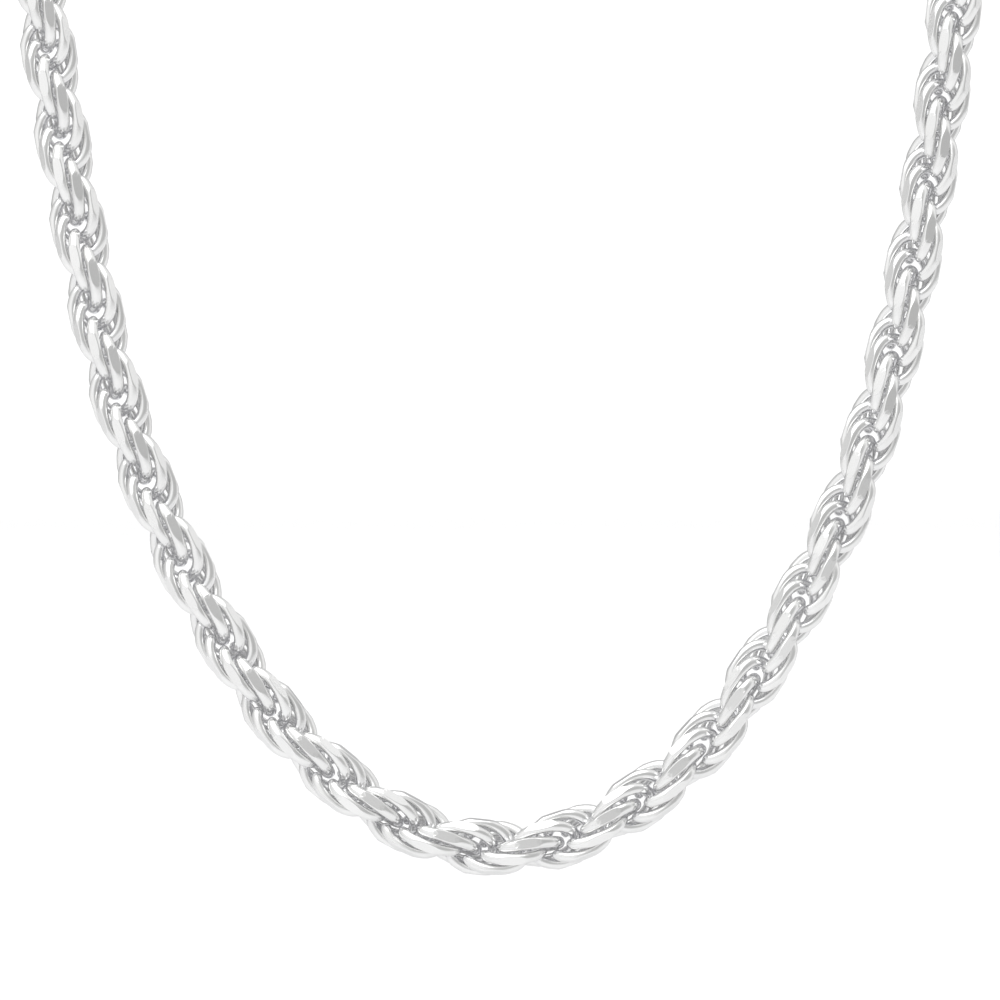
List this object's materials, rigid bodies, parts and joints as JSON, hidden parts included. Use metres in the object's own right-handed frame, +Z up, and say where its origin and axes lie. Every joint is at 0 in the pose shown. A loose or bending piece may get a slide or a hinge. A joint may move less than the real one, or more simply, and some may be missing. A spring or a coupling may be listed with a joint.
{
  "type": "rope chain necklace",
  "caption": "Polished silver rope chain necklace of twisted interlinked rings with diamond-cut flats, hanging as worn round a neck, closed by a plain barrel clasp at the nape.",
  "frame": {"origin": "nape: the middle of the clasp's neck side, where the necklace is carried", "axes": "+Z up, -Y the front of the wearer, +X to the right as seen from the front"},
  "size_m": [0.1266, 0.0846, 0.1706],
  "materials": {
    "rope_silver": "bright polished silver with diamond-cut flats",
    "clasp_silver": "polished silver, plain"
  },
  "bodies": {
    "root": {"rope_chain": "rope_silver", "clasp": "clasp_silver"}
  },
  "joints": []
}
